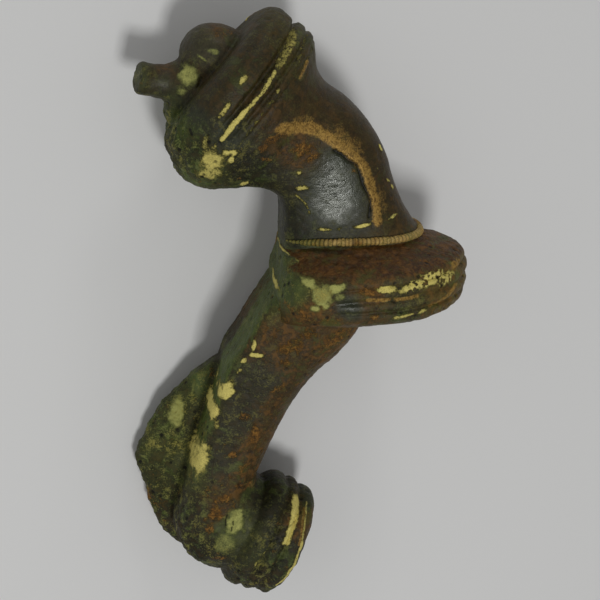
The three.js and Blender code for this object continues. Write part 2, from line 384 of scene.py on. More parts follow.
lowerBow = {
    "stations": [
        ((7.0, 0.2), (-2.0, 3.4), 5.2, 2.3, 9),
        ((5.8, -2.6), (-3.4, 1.3), 5.4, 2.3, 9),
        ((4.3, -4.6), (-4.7, -0.6), 5.4, 2.3, 9),
        ((1.9, -6.7), (-6.1, -3.0), 5.3, 2.3, 9),
        ((-0.2, -9.2), (-7.6, -5.2), 5.1, 2.3, 9),
        ((-1.6, -11.7), (-8.6, -8.2), 4.7, 2.3, 7),
        ((-2.9, -14.3), (-9.8, -11.4), 4.5, 2.3, 5),
        ((-4.0, -16.9), (-11.0, -15.2), 4.4, 2.3, 4),
        ((-4.6, -18.3), (-12.2, -19.5), 4.5, 2.3, 3),
        ((-4.6, -18.6), (-13.2, -23.4), 4.6, 2.3, 2.6),
        ((-4.6, -18.8), (-11.9, -27.0), 4.7, 2.2, 2.4),
        ((-4.5, -18.9), (-9.8, -28.6), 4.8, 2.1, 2.2),
        ((-4.2, -19.2), (-7.6, -28.9), 4.8, 2, 2.1),
        ((-3.4, -20.2), (-6.6, -27.6), 4.6, 2, 2),
    ],
    "around": 130,
    "rings": 180,
}
catchplate = {
    "stations": [
        ((-6.8, -5.8), (-8.8, -6.6), 0.9, 3, 2.6),
        ((-7.0, -7.6), (-11.9, -8.9), 1.2, 3, 2.6),
        ((-7.4, -9.2), (-14.2, -11.5), 1.4, 3, 2.6),
        ((-7.8, -12.0), (-15.7, -14.2), 1.5, 3, 2.6),
        ((-8.4, -15.0), (-16.9, -17.1), 1.5, 3, 2.6),
        ((-8.8, -18.0), (-16.1, -20.3), 1.5, 3, 2.6),
        ((-9.0, -20.5), (-15.4, -23.4), 1.5, 3, 2.6),
        ((-9.0, -22.5), (-14.1, -25.8), 1.5, 3, 2.5),
        ((-8.6, -24.0), (-12.1, -27.6), 1.5, 3, 2.4),
        ((-8.4, -25.0), (-10.5, -28.0), 1.4, 3, 2.3),
    ],
    "aside": -1.9,
    "around": 80,
    "rings": 110,
}
gutter = {
    "stations": [
        ((-11.9, -10.3), (-13.2, -11.2), 1.1, 2, 2),
        ((-13.3, -14.2), (-14.9, -14.8), 1.1, 2, 2),
        ((-13.5, -18.8), (-15.1, -19.4), 1.1, 2, 2),
        ((-12.6, -23.2), (-14.0, -24.2), 1.1, 2, 2),
    ],
    "aside": -3.6,
    "around": 24,
    "rings": 40,
}
knob = {
    "centre": (-4.9, -24.9),
    "axisDegrees": -26.6,
    "flattening": 0.9,
    "profile": [  # distance along the axis and radius
        (-2.6, 0), (-2.4, 4.4), (-1.75, 4.7), (-1.2, 5.6), (-0.5, 6.3), (0.4, 6.4), (0.85, 6.2),
        (1.02, 5.8), (1.2, 6.2), (1.7, 6.35), (2.2, 6.15), (2.42, 5.55), (2.7, 5.95), (3.3, 6.1),
        (3.9, 5.95), (4.4, 5.4), (4.65, 4.1), (4.75, 0),
    ],
    "around": 160,
    "rings": 120,
}

grain = {"head": 0.144, "disc": 0.125, "foot": 0.15}

head = oneSkin(
    "brooch_head",
    [sweptBar("upperBow", upperBow, headGrooves), *makeBoss(), makeStump()],
    grain["head"],
)
print("head and upper bow:", len(head.data.polygons), "faces")
rim = oneSkin("brooch_disc", [sweptBar("disc", disc, rimGrooves)], grain["disc"])
print("disc:", len(rim.data.polygons), "faces")
foot = oneSkin(
    "brooch_foot",
    [
        sweptBar("lowerBow", lowerBow),
        cut(sweptBar("catchplate", catchplate), sweptBar("gutter", gutter)),
        turnedKnob("knob", knob),
    ],
    grain["foot"],
)
print("foot:", len(foot.data.polygons), "faces")

# The beaded collar

collar = {
    "place": 14,
    "beads": 84,
    "radius": 0.38,
    "pinch": 0.1,
    "proud": 0.13,
    "reachDegrees": 150,
    "fading": 9,
    "tip": 0.08,
    "tones": {"dark": (104, 76, 34), "light": (164, 140, 84), "leftEnd": (96, 92, 44)},
}
betweenBeads = {}  # filled as the collar is made: how deep in a notch each vertex lies


def makeCollar():
    surface = surfaceOf(upperBow)
    reach = radians(collar["reachDegrees"])
    fine = np.linspace(-reach, reach, 1200)
    path = surface(np.full(len(fine), float(collar["place"])), fine, collar["proud"])
    lengths = np.concatenate([[0], np.cumsum(np.linalg.norm(np.diff(path, axis=0), axis=1))])
    perBead = 8
    steps = collar["beads"] * perBead
    places = np.arange(steps + 1)

    def pointAt(place, angle, share):
        bow = np.interp(place / steps * lengths[-1], lengths, fine)
        grown = smooth(0, collar["fading"] * perBead, np.minimum(place, steps - place))
        notch = np.abs(np.sin(pi * place / perBead)) ** 0.6
        betweenBeads["share"] = 1 - notch
        radius = collar["tip"] + (collar["radius"] - collar["tip"]) * grown
        radius = radius - collar["pinch"] * (1 - notch)
        radius = radius * share
        middle = np.full(len(place), float(collar["place"]))
        point = surface(middle, bow, collar["proud"] + radius * np.cos(angle))
        point[:, 1] += radius * np.sin(angle)
        return point

    return ballThroughRows("brooch_collar", 14, [(place, 1) for place in places], pointAt)


string = makeCollar()
print("collar:", len(string.data.polygons), "faces")

# Wear with painted sheen, dirt with painted shade, crusts and colours, by their places in the profile
# frame. The marks are on the near side; the far side gets the same kinds strewn about.

tones = {  # the colours of the bare patina in dim light
    "umber": (40, 35, 18),
    "bistre": (46, 37, 18),
    "oliveBrown": (45, 41, 18),
    "russet": (53, 40, 18),
    "tawny": (63, 47, 22),
    "ochre": (74, 61, 29),
    "drab": (50, 47, 28),
    "pewter": (50, 48, 35),
    "slate": (38, 41, 29),
    "greyBrown": (37, 36, 23),
    "soot": (29, 30, 18),
    "leaf": (48, 60, 22),
    "moss": (51, 55, 30),
    "darkMoss": (41, 45, 25),
    "sage": (58, 68, 34),
}

patina = {  # x, y, reach, tone, how rough the skin is
    "headPlate": [(-8.5, 22.5, 2.4, "umber", 0.35), (-4.6, 25.4, 2.2, "umber", 0.35)],
    "headTop": [(-2.4, 27.2, 1.3, "oliveBrown", 0.5), (0.3, 26.0, 1.1, "oliveBrown", 0.5)],
    "headBack": [(-11.6, 19.2, 1.1, "leaf", 1.4), (-10.0, 20.2, 1.3, "slate", 0.5)],
    "headFoot": [(-10.9, 16.4, 1.6, "darkMoss", 2.2), (-7.2, 18.6, 1.3, "slate", 0.5)],
    "headUnder": [(-9.2, 14.4, 1.6, "moss", 1.2), (-5.2, 14.6, 1.8, "soot", 0.6)],
    "ridges": [(-3.6, 22.6, 1.6, "umber", 0.4), (-1.4, 24.6, 1.4, "oliveBrown", 0.4)],
    "boss": [(-9.0, 25.6, 1.5, "pewter", 0.4), (-7.6, 27.5, 0.9, "russet", 0.4)],
    "stump": [(-12.9, 23.8, 0.6, "russet", 0.4), (-13.0, 22.4, 0.7, "pewter", 0.4)],
    "stumpEnd": [(-15.2, 23.0, 0.5, "moss", 0.6), (-12.2, 20.8, 0.8, "darkMoss", 0.8)],
    "throat": [(1.8, 21.4, 2.2, "bistre", 0.2), (-3.0, 20.0, 1.2, "bistre", 0.3)],
    "knee": [(5.6, 17.6, 2.0, "bistre", 0.15), (8.0, 13.6, 1.6, "bistre", 0.2)],
    "bowFront": [(9.4, 10.2, 1.4, "bistre", 0.25), (8.9, 15.8, 0.8, "oliveBrown", 0.3)],
    "bowSide": [(2.8, 12.4, 2.4, "slate", 0.12), (3.2, 15.2, 1.0, "slate", 0.15)],
    "bowInner": [(-0.8, 16.4, 1.4, "russet", 0.6), (-1.8, 13.9, 1.2, "greyBrown", 0.4)],
    "bowBack": [(-1.5, 10.4, 0.9, "soot", 0.4), (-0.6, 8.6, 0.9, "soot", 0.4)],
    "rimBack": [(-2.4, 3.4, 1.5, "sage", 0.8), (0.6, 1.0, 1.6, "tawny", 0.9)],
    "rimSide": [(5.6, 3.4, 1.2, "tawny", 0.6), (3.8, 2.2, 1.1, "slate", 0.3)],
    "rimFront": [(9.2, 2.2, 1.8, "drab", 0.7), (12.8, 3.0, 1.8, "ochre", 0.9)],
    "rimTip": [(15.8, 4.2, 1.0, "ochre", 0.7), (14.8, 1.6, 1.2, "ochre", 0.7)],
    "bowRoot": [(-0.8, -2.6, 2.0, "russet", 0.7), (3.4, -2.8, 1.7, "tawny", 0.7)],
    "shank": [(0.6, -6.0, 1.6, "russet", 0.6), (-4.6, -7.0, 1.9, "greyBrown", 0.5)],
    "shankLow": [(-2.6, -9.6, 1.5, "russet", 0.6), (-6.6, -11.2, 1.7, "greyBrown", 0.6)],
    "shankEnd": [(-4.6, -13.6, 1.4, "tawny", 0.7), (-8.4, -15.2, 1.6, "greyBrown", 0.6)],
    "heel": [(-6.2, -17.4, 1.5, "russet", 0.7), (-8.9, -20.4, 1.5, "russet", 0.7)],
    "heelBack": [(-11.2, -21.0, 1.8, "greyBrown", 0.9), (-11.4, -25.4, 1.8, "soot", 1.6)],
    "heelUnder": [(-9.4, -26.4, 1.3, "soot", 0.7), (-7.4, -22.6, 1.8, "moss", 0.4)],
    "plateTop": [(-13.0, -9.2, 1.4, "moss", 1.8), (-10.6, -8.6, 1.0, "sage", 0.7)],
    "plate": [(-14.6, -15.0, 1.9, "moss", 1.9), (-12.0, -17.5, 1.5, "moss", 0.9)],
    "plateLow": [(-14.6, -20.2, 1.9, "darkMoss", 2.0), (-12.8, -24.4, 1.7, "greyBrown", 1.4)],
    "knobNeck": [(-3.8, -20.6, 1.4, "soot", 0.5), (-5.6, -19.2, 0.6, "moss", 0.5)],
    "knobRings": [(-2.2, -25.4, 1.6, "soot", 0.7), (-4.6, -25.6, 1.1, "darkMoss", 0.8)],
    "knobEnd": [(-0.1, -22.6, 0.9, "tawny", 0.7), (0.9, -21.2, 0.7, "darkMoss", 0.6)],
    "knobFoot": [(-4.4, -28.2, 1.4, "greyBrown", 1.5), (-2.0, -28.6, 1.2, "soot", 1.0)],
}

# Spots: x, y, half length, half width, turn in degrees, strength.
spots = {
    "cream": [
        (-5.9, 23.6, 0.6, 0.26, 50, 0.75), (-7.6, 20.9, 1.05, 0.27, 50, 0.7),
        (-2.7, 22.4, 0.35, 0.17, 60, 0.6),
        (-7.1, 16.9, 0.75, 0.35, 0, 0.9), (-7.0, 16.2, 0.4, 0.3, 90, 0.9), (-9.4, 17.7, 0.8, 0.3, 80, 0.6),
        (-8.6, 17.4, 0.5, 0.25, 60, 0.6), (-8.7, 16.0, 1.15, 0.95, 10, 0.85),
        (-9.1, 14.7, 1.4, 0.7, 0, 0.7), (-9.0, 17.0, 0.9, 0.6, 0, 0.6),
        (-5.7, 13.4, 0.5, 0.25, 15, 0.8), (-0.6, 14.3, 0.3, 0.22, 0, 0.8), (-0.3, 12.8, 0.8, 0.3, 5, 0.7),
        (7.5, 15.9, 0.42, 0.13, -60, 0.9), (7.0, 14.2, 0.3, 0.2, 0, 0.5), (8.2, 12.8, 0.4, 0.12, -45, 0.7),
        (8.7, 12.1, 0.35, 0.12, -60, 0.7), (1.9, 8.6, 0.85, 0.2, 0, 0.75), (3.3, 8.6, 0.3, 0.3, 0, 0.5),
        (5.5, 8.85, 1.0, 0.2, 8, 0.95), (8.6, 9.4, 0.5, 0.17, 20, 0.7), (3.8, 6.95, 0.6, 0.16, 0, 0.5),
        (7.4, 3.8, 0.95, 0.4, 0, 1.0), (9.0, 3.7, 0.7, 0.35, 10, 0.7), (1.2, 3.4, 1.1, 1.0, -10, 0.55),
        (-2.7, 3.1, 0.28, 0.4, 0, 0.8),
        (9.0, 1.0, 1.4, 0.2, 6, 0.75), (10.8, 1.2, 0.8, 0.2, 10, 0.7),
        (-4.8, -3.7, 0.75, 0.3, -5, 1.0), (-5.0, -2.8, 0.6, 0.25, 80, 1.0), (-6.0, -4.3, 0.35, 0.25, 40, 0.8),
        (-6.4, -5.3, 0.5, 0.2, 50, 0.6), (-7.7, -7.6, 1.15, 0.68, 62, 1.0),
        (-9.0, -10.0, 1.0, 0.62, 70, 0.95),
        (-8.7, -11.2, 0.6, 0.3, 80, 0.6), (-10.0, -12.6, 1.0, 0.3, 70, 0.45),
        (-10.5, -15.3, 1.9, 0.95, 68, 0.85),
        (-15.0, -13.0, 0.7, 0.13, 60, 0.9), (-15.7, -14.3, 0.7, 0.13, 60, 0.8),
        (-14.5, -12.6, 0.3, 0.2, 30, 0.7),
        (-11.0, -23.4, 0.5, 0.2, 60, 0.4), (-3.6, -24.6, 0.4, 0.15, 60, 0.4),
        (-5.1, -26.4, 0.7, 0.16, 75, 0.6),
        (-4.2, -25.0, 0.35, 0.14, 50, 0.6), (-1.9, -28.3, 0.5, 0.14, 62, 0.8),
    ],
    "paleGreen": [
        (-10.7, 23.2, 0.9, 1.3, -15, 0.75), (-11.3, 21.7, 0.7, 0.4, 30, 0.6),
        (-8.3, 25.5, 0.75, 0.28, -10, 0.6),
        (-9.4, 24.9, 0.6, 0.15, -35, 0.7), (1.2, 3.2, 1.0, 1.2, -10, 1.0), (0.1, 4.5, 0.8, 0.6, -45, 0.9),
        (2.6, 4.0, 0.9, 0.5, 10, 0.95),
        (0.6, 2.0, 0.45, 0.5, 0, 0.9), (-0.3, 4.7, 0.7, 0.3, -35, 0.8), (2.9, 3.2, 0.5, 0.4, 0, 0.6),
        (-12.6, -11.5, 2.0, 0.85, 80, 0.9), (-10.9, -9.4, 1.1, 0.3, 82, 0.6), (-12.0, -8.3, 0.6, 0.4, 0, 0.4),
        (-7.1, -22.0, 1.5, 1.15, 65, 0.75), (-8.2, -24.3, 1.5, 1.2, 60, 0.6),
        (-10.6, -15.6, 2.2, 1.2, 68, 0.6),
        (-4.3, -23.9, 0.5, 0.2, 60, 0.4), (-0.5, 26.6, 0.9, 0.35, 60, 0.4), (-6.0, -6.6, 0.6, 0.2, 50, 0.3),
    ],
    "rust": [
        (-4.1, 17.1, 0.55, 0.4, 20, 0.7), (-3.3, 17.8, 0.55, 0.4, 0, 0.7), (-2.5, 18.2, 0.8, 0.35, 10, 0.5),
        (-3.7, 15.9, 0.6, 0.22, -15, 0.7), (-0.2, 16.6, 1.2, 0.7, 5, 0.75), (0.7, 15.8, 0.8, 0.3, 20, 0.6),
        (4.7, 14.2, 0.5, 0.2, -35, 0.6), (5.4, 3.6, 0.8, 0.4, -10, 0.8), (6.2, 1.0, 0.5, 0.28, 0, 0.9),
        (-1.0, 1.4, 1.3, 0.5, -30, 0.6), (1.6, 0.6, 1.6, 0.4, 0, 0.4), (3.4, -2.4, 2.2, 0.9, 25, 0.6),
        (-1.6, -3.0, 1.3, 0.7, 10, 0.6), (0.2, -1.6, 1.2, 0.5, 0, 0.5), (-2.0, -4.6, 0.8, 0.4, 0, 0.6),
        (-2.6, -7.4, 0.9, 0.4, 20, 0.5), (-6.0, -10.4, 0.7, 0.55, 0, 0.6), (-5.0, -12.6, 0.6, 1.1, -10, 0.7),
        (-7.2, -14.6, 0.42, 0.34, 0, 0.95), (-6.1, -16.2, 0.5, 0.7, 0, 0.5), (-7.9, -19.4, 0.8, 0.5, 30, 0.7),
        (-9.0, -21.0, 0.7, 0.9, 0, 0.7), (-9.6, -22.6, 0.5, 0.7, 0, 0.6), (-5.3, -18.7, 0.75, 0.32, -40, 0.9),
        (-6.6, -18.2, 0.45, 0.4, 0, 0.6), (-8.8, -26.2, 0.9, 0.3, 10, 0.6), (-3.2, -24.9, 0.3, 0.25, 0, 0.7),
        (-13.2, -14.6, 0.8, 0.4, 80, 0.3), (-7.2, 27.0, 1.2, 0.4, 0, 0.4),
    ],
    # golden marks: worn metal, and in part a painted sheen where light falls on the knee of the bow
    "goldWearAndSheen": [
        (3.6, 17.2, 2.4, 0.9, -38, 0.5), (7.4, 11.0, 1.6, 0.6, 100, 0.4), (-0.4, 19.4, 1.6, 0.6, 0, 0.35),
        (14.5, 4.9, 0.75, 0.6, 70, 0.9), (10.0, 5.6, 3.6, 0.8, 8, 0.22), (8.6, 17.2, 0.9, 0.3, -50, 0.4),
    ],
    "gloss": [
        (2.8, 12.2, 3.0, 2.1, 100, 1.0), (2.6, 15.0, 1.6, 0.9, 20, 0.9), (3.7, 2.3, 1.6, 0.42, -3, 0.9),
        (-9.0, 25.8, 1.6, 1.2, 0, 0.6), (-13.0, 22.6, 0.9, 0.5, 0, 0.5),
    ],
}

# Strokes: points along the stroke, half width, strength.
strokes = {
    # golden strokes: worn metal; the knee band by the crack is in part a painted sheen
    "goldWearAndSheen": [
        ([(-2.4, 18.8), (0.2, 18.8), (1.5, 18.1), (2.9, 17.1)], 0.5, 0.9),
        ([(2.9, 17.1), (3.9, 16.25), (4.9, 15.35), (5.7, 14.4), (6.3, 12.9)], 0.42, 1.0),
        ([(6.3, 12.9), (6.8, 11.2), (6.95, 10.0), (7.0, 9.2)], 0.4, 0.95),
        ([(5.5, 2.85), (6.4, 2.75), (7.6, 2.78)], 0.17, 1.0),
        ([(8.2, 2.7), (9.2, 2.72), (10.3, 2.85)], 0.18, 1.0),
        ([(11.6, 1.6), (12.6, 1.8), (13.6, 2.2), (14.6, 2.8)], 0.17, 1.0),
        ([(12.4, 6.4), (14.2, 5.7)], 0.25, 0.8),
        ([(0.3, 24.6), (-0.5, 23.3)], 0.15, 0.8),
        ([(0.15, -21.8), (-0.1, -23.0), (-0.5, -24.6)], 0.2, 0.8),
    ],
    "cream": [
        ([(-0.9, 26.8), (-1.6, 25.8), (-2.5, 24.7)], 0.42, 0.58),
        ([(-2.9, 24.1), (-4.2, 22.3), (-5.6, 20.9)], 0.2, 0.72),
        ([(-5.6, 20.9), (-6.7, 19.7), (-7.9, 18.1)], 0.22, 0.9),
        ([(-0.6, 24.9), (-0.1, 25.9), (0.5, 26.8)], 0.2, 0.45),
        ([(-3.2, 21.6), (-4.4, 20.2), (-5.6, 18.6)], 0.15, 0.42),
        ([(-2.0, 6.3), (-1.0, 6.1), (-0.3, 5.7)], 0.16, 0.8),
        ([(-0.9, 12.1), (0.1, 11.2), (0.5, 10.2)], 0.1, 0.6),
        ([(-0.75, -20.9), (-0.95, -22.0), (-1.9, -24.2)], 0.42, 1.0),
        ([(-0.3, -24.4), (-0.9, -26.2), (-1.9, -28.3), (-2.9, -29.5)], 0.17, 0.8),
        ([(0.4, -21.4), (0.0, -23.0), (-0.5, -24.8)], 0.12, 0.7),
    ],
    "crack": [
        ([(2.7, 16.35), (3.5, 15.9), (4.2, 15.3), (5.0, 14.75), (5.3, 13.8)], 0.1, 1.0),
        ([(5.3, 13.8), (5.6, 12.8), (6.05, 12.0), (6.4, 11.2), (6.3, 10.2), (6.2, 9.6)], 0.1, 1.0),
        ([(-1.75, -22.7), (-1.0, -22.6)], 0.06, 1.0),
        ([(-7.9, -21.2), (-8.1, -22.4)], 0.07, 1.0),
        ([(-7.2, -21.8), (-7.5, -23.0)], 0.06, 1.0),
    ],
    # painted shadow: dark strokes where shade lies, under the collar, on the catchplate and beside the knob
    "shade": [
        ([(-1.4, 7.0), (1.5, 6.6), (4.4, 6.5)], 0.2, 0.8),
        ([(-9.9, -12.0), (-10.9, -14.0), (-12.2, -16.4)], 0.2, 0.4),
        ([(-3.4, -22.4), (-4.0, -24.4), (-4.2, -26.4)], 0.2, 0.6),
    ],
}
speckled = [(9.9, 4.0, 1.1, 0.6, 15, 1.0), (11.7, 4.35, 1.8, 0.8, 12, 1.0), (13.3, 4.0, 1.2, 0.8, 15, 0.9)]
lift = 1.75  # how much lighter a colour is than it looks in dim light


def fromLook(colour):
    return lift * (np.array(colour) / 255) ** 2.2


def spotMask(points, marks, ragged):
    mask = np.zeros(len(points))
    for x, y, length, width, degrees, strength in marks:
        along = np.array([np.cos(radians(degrees)), np.sin(radians(degrees))])
        offset = points[:, :2] - (x, y)
        u = offset @ along / length
        v = offset @ np.array([-along[1], along[0]]) / width
        away = np.sqrt(u * u + v * v) + ragged * 0.38
        mask = np.maximum(mask, strength * smooth(1.5, 0.45, away))
    return mask


def strokeMask(points, line, width, strength, ragged):
    away = np.full(len(points), 99.0)
    for start, end in zip(line, line[1:]):
        start, end = np.array(start), np.array(end)
        step = end - start
        offset = points[:, :2] - start
        share = np.clip(offset @ step / (step @ step), 0, 1)
        away = np.minimum(away, np.linalg.norm(offset - share[:, None] * step, axis=1))
    return strength * smooth(1.75, 0.5, away / width + ragged * 0.35)


def groundOf(points):
    colour = np.zeros((len(points), 3))
    rough = np.zeros(len(points))
    total = np.full(len(points), 1e-9)
    for area in patina.values():
        for x, y, reach, tone, roughness in area:
            away = np.linalg.norm(points[:, :2] - (x, y), axis=1) / reach
            weight = 1 / (0.05 + away**4)
            colour += weight[:, None] * fromLook(tones[tone])
            rough += weight * roughness
            total += weight
    return colour / total[:, None], rough / total


def skinOf(points):
    near = smooth(-1.6, -0.4, points[:, 2])
    drift = np.stack([cloud(points, 1.6, 5 + k) for k in range(3)], axis=1)
    wander = np.where(near[:, None] > 0.5, 0.35, 2.2)
    moved = points + drift * wander
    colour, rough = groundOf(moved)
    ragged = cloud(points, 0.55, 60, 3)
    masks = {}
    for kind in spots:
        masks[kind] = spotMask(points, spots[kind], ragged) * near
    for kind in ("goldWearAndSheen", "cream", "crack", "shade"):
        for line, width, strength in strokes[kind]:
            mask = strokeMask(points, line, width, strength, ragged * (kind != "crack")) * near
            masks[kind] = np.maximum(masks.get(kind, 0), mask)
    for kind, seed, share in (("cream", 71, 0.62), ("paleGreen", 75, 0.5), ("rust", 79, 0.4)):
        strewn = smooth(share, share + 0.25, cloud(points, 2.6, seed)) * (1 - near)
        masks[kind] = np.maximum(masks[kind], strewn)
    number = cells(points, 0.3, 83)[1]
    speck = spotMask(points, speckled, ragged) * near
    masks["cream"] = np.maximum(masks["cream"], speck * np.where(number > 0.3, 0.9, 0.2))
    rustFree = 1 - smooth(0.2, 0.7, masks["gloss"])
    strewnRust = smooth(0.35, 0.75, cloud(points, 0.9, 90) * 1.1) * smooth(0.35, 0.7, rough) * 0.45
    masks["rust"] = np.maximum(masks["rust"], strewnRust * rustFree)
    return masks, colour, rough


relief = {
    "waves": [(0.12, 2.4, 11), (0.11, 0.95, 23), (0.06, 0.42, 31)],  # height, size, seed
    "pit": 0.13,
    "crust": 0.06,
    "rust": 0.03,
    "goldLip": 0.05,
    "crack": 0.24,
    "shade": 0.05,
}


def weather(piece):
    points = verticesOf(piece)
    normals = normalsOf(piece)
    masks, colour, rough = skinOf(points)
    height = rough * sum(high * cloud(points, size, seed) for high, size, seed in relief["waves"])
    hollow, number = cells(points, 0.85, 47)
    pit = (number > 0.62) * smooth(0.42, 0.12, hollow) * np.clip(rough, 0, 1)
    height -= relief["pit"] * pit
    crust = np.maximum(masks["cream"], masks["paleGreen"])
    height += crust * (relief["crust"] + 0.05 * cloud(points, 0.5, 52))
    height += masks["rust"] * relief["rust"] * (1 + cloud(points, 0.4, 57))
    height += relief["goldLip"] * masks["goldWearAndSheen"]
    height -= relief["crack"] * masks["crack"] + relief["shade"] * masks["shade"]
    points = points + normals * height[:, None]
    setVertices(piece, points)
    shade = 1 + 0.34 * cloud(points, 0.8, 97, 4) * (1 - 0.6 * masks["gloss"])
    colour = colour * shade[:, None]
    # dark where dirt lies in pits and cracks, and painted shade along the shade strokes
    masks["dirtAndShade"] = np.maximum(np.maximum(pit, masks["crack"]), 0.75 * masks["shade"])
    masks["rough"] = np.clip(rough, 0, 1.5)
    return points, normalsOf(piece), masks, colour


def store(piece, name, values):
    layer = piece.data.attributes.new(name, "FLOAT_COLOR", "POINT")
    full = np.ones((len(piece.data.vertices), 4))
    full[:, :3] = values
    layer.data.foreach_set("color", full.ravel())


faceTones = {"discTop": (60, 38, 13), "bowBack": (58, 70, 27)}  # dark red, bright green

for piece in (head, rim, foot):
    points, normals, masks, colour = weather(piece)
    if piece is rim:  # the dark red face that looks to the head
        top = smooth(0.45, 0.8, normals[:, 1]) * smooth(4.3, 5.2, points[:, 1])
        streak = cloud(points * (0.35, 1, 1.6), 0.5, 101, 4)
        look = fromLook(faceTones["discTop"]) * (1 + 0.45 * streak)[:, None]
        colour = colour * (1 - top)[:, None] + look * top[:, None]
        for kind in ("cream", "paleGreen", "goldWearAndSheen"):
            masks[kind] = masks[kind] * (1 - 0.85 * top)
        masks["rust"] = np.maximum(masks["rust"] * (1 - top), top * smooth(0.25, 0.8, streak) * 0.6)
    if piece is foot:  # the green flat back of the lower bow
        back = smooth(0.55, 0.85, -normals[:, 0]) * smooth(-19, -14, points[:, 1])
        back = back * smooth(-1.2, 0.2, points[:, 2])
        look = fromLook(faceTones["bowBack"]) * (1 + 0.3 * cloud(points, 0.7, 105))[:, None]
        colour = colour * (1 - back)[:, None] + look * back[:, None]
    store(piece, "ground", colour)
    store(piece, "crusts", np.stack([masks["cream"], masks["paleGreen"], masks["rust"]], axis=1))
    # golden wear with painted sheen, gloss, and dirt with painted shade
    store(piece, "wearSheenAndShade", np.stack([masks["goldWearAndSheen"], masks["gloss"], masks["dirtAndShade"]], axis=1))
    warm = np.clip((colour[:, 0] / colour[:, 1] - 1.05) / 0.6, 0, 1)
    store(piece, "skin", np.stack([masks["rough"], warm, 0 * warm], axis=1))
    print("weathered", piece.name)

points = verticesOf(string)
height = 0.06 * cloud(points, 0.6, 111) * smooth(-1, 0, points[:, 2])
setVertices(string, points + normalsOf(string) * height[:, None])
between = betweenBeads["share"]
tone = smooth(-0.5, 0.5, cloud(points, 1.2, 113))[:, None]
leftEnd = smooth(3.0, 0.5, points[:, 0])[:, None]
dark, light, greenish = (fromLook(collar["tones"][name]) for name in ("dark", "light", "leftEnd"))
colour = dark * (1 - tone) + light * tone
colour = colour * (1 - leftEnd) + greenish * leftEnd
# painted shade: darker in the notches between the beads
colour = colour * (1 - 0.75 * between[:, None])
zero = np.zeros(len(points))
store(string, "ground", colour)
store(string, "crusts", np.stack([0.45 * tone[:, 0] * (1 - between), zero, 0.35 * (1 - tone[:, 0])], axis=1))
# bead crests golden: wear, and in part a painted sheen
store(string, "wearSheenAndShade", np.stack([0.4 * (1 - between), zero, zero], axis=1))
store(string, "skin", np.stack([zero + 0.5, zero, zero], axis=1))


# The finish

class Wire:  # a shader socket that can be reckoned with
    def __init__(self, tree, socket):
        self.tree = tree
        self.socket = socket

    def node(self, kind, settings, inputs, output=0):
        made = self.tree.nodes.new(kind)
        for name, value in settings.items():
            setattr(made, name, value)
        for name, value in inputs.items():
            if isinstance(value, Wire):
                self.tree.links.new(value.socket, made.inputs[name])
            else:
                made.inputs[name].default_value = value
        return Wire(self.tree, made.outputs[output])

    def maths(self, operation, first, second):
        return self.node("ShaderNodeMath", {"operation": operation}, {0: first, 1: second})

    def __add__(self, other):
        return self.maths("ADD", self, other)

    __radd__ = __add__

    def __sub__(self, other):
        return self.maths("SUBTRACT", self, other)

    def __rsub__(self, other):
        return self.maths("SUBTRACT", other, self)

    def __mul__(self, other):
        return self.maths("MULTIPLY", self, other)

    __rmul__ = __mul__

    def between(self, low, high):
        settings = {"interpolation_type": "SMOOTHSTEP"}
        return self.node("ShaderNodeMapRange", settings, {"Value": self, "From Min": low, "From Max": high})

    def mixed(self, share, other):  # colours
        inputs = {"Factor": share, 6: self, 7: other}
        return self.node("ShaderNodeMix", {"data_type": "RGBA"}, inputs, 2)

    def tinted(self, share):  # a colour made lighter or darker
        return self.node("ShaderNodeVectorMath", {"operation": "SCALE"}, {0: self, "Scale": share})


finish = {
    "cream": (184, 172, 98),
    "creamOld": (112, 106, 52),
    "paleGreen": (146, 146, 84),
    "greenOld": (84, 90, 50),
    "rust": (118, 84, 38),
    "rustOld": (72, 50, 24),
    "goldWearAndSheen": (146, 116, 60),
    "goldOld": (92, 70, 34),
    "leaf": (62, 74, 28),
    # the dark of dirt and of painted shade, also used for dark flecks
    "dirtAndShade": (12, 10, 6),
    "roughness": 0.5,
    "glossy": 0.2,
    "crusty": 0.85,
    "metallic": 0.12,
    "specular": 0.33,
    "bumpDepth": 0.00028,
}


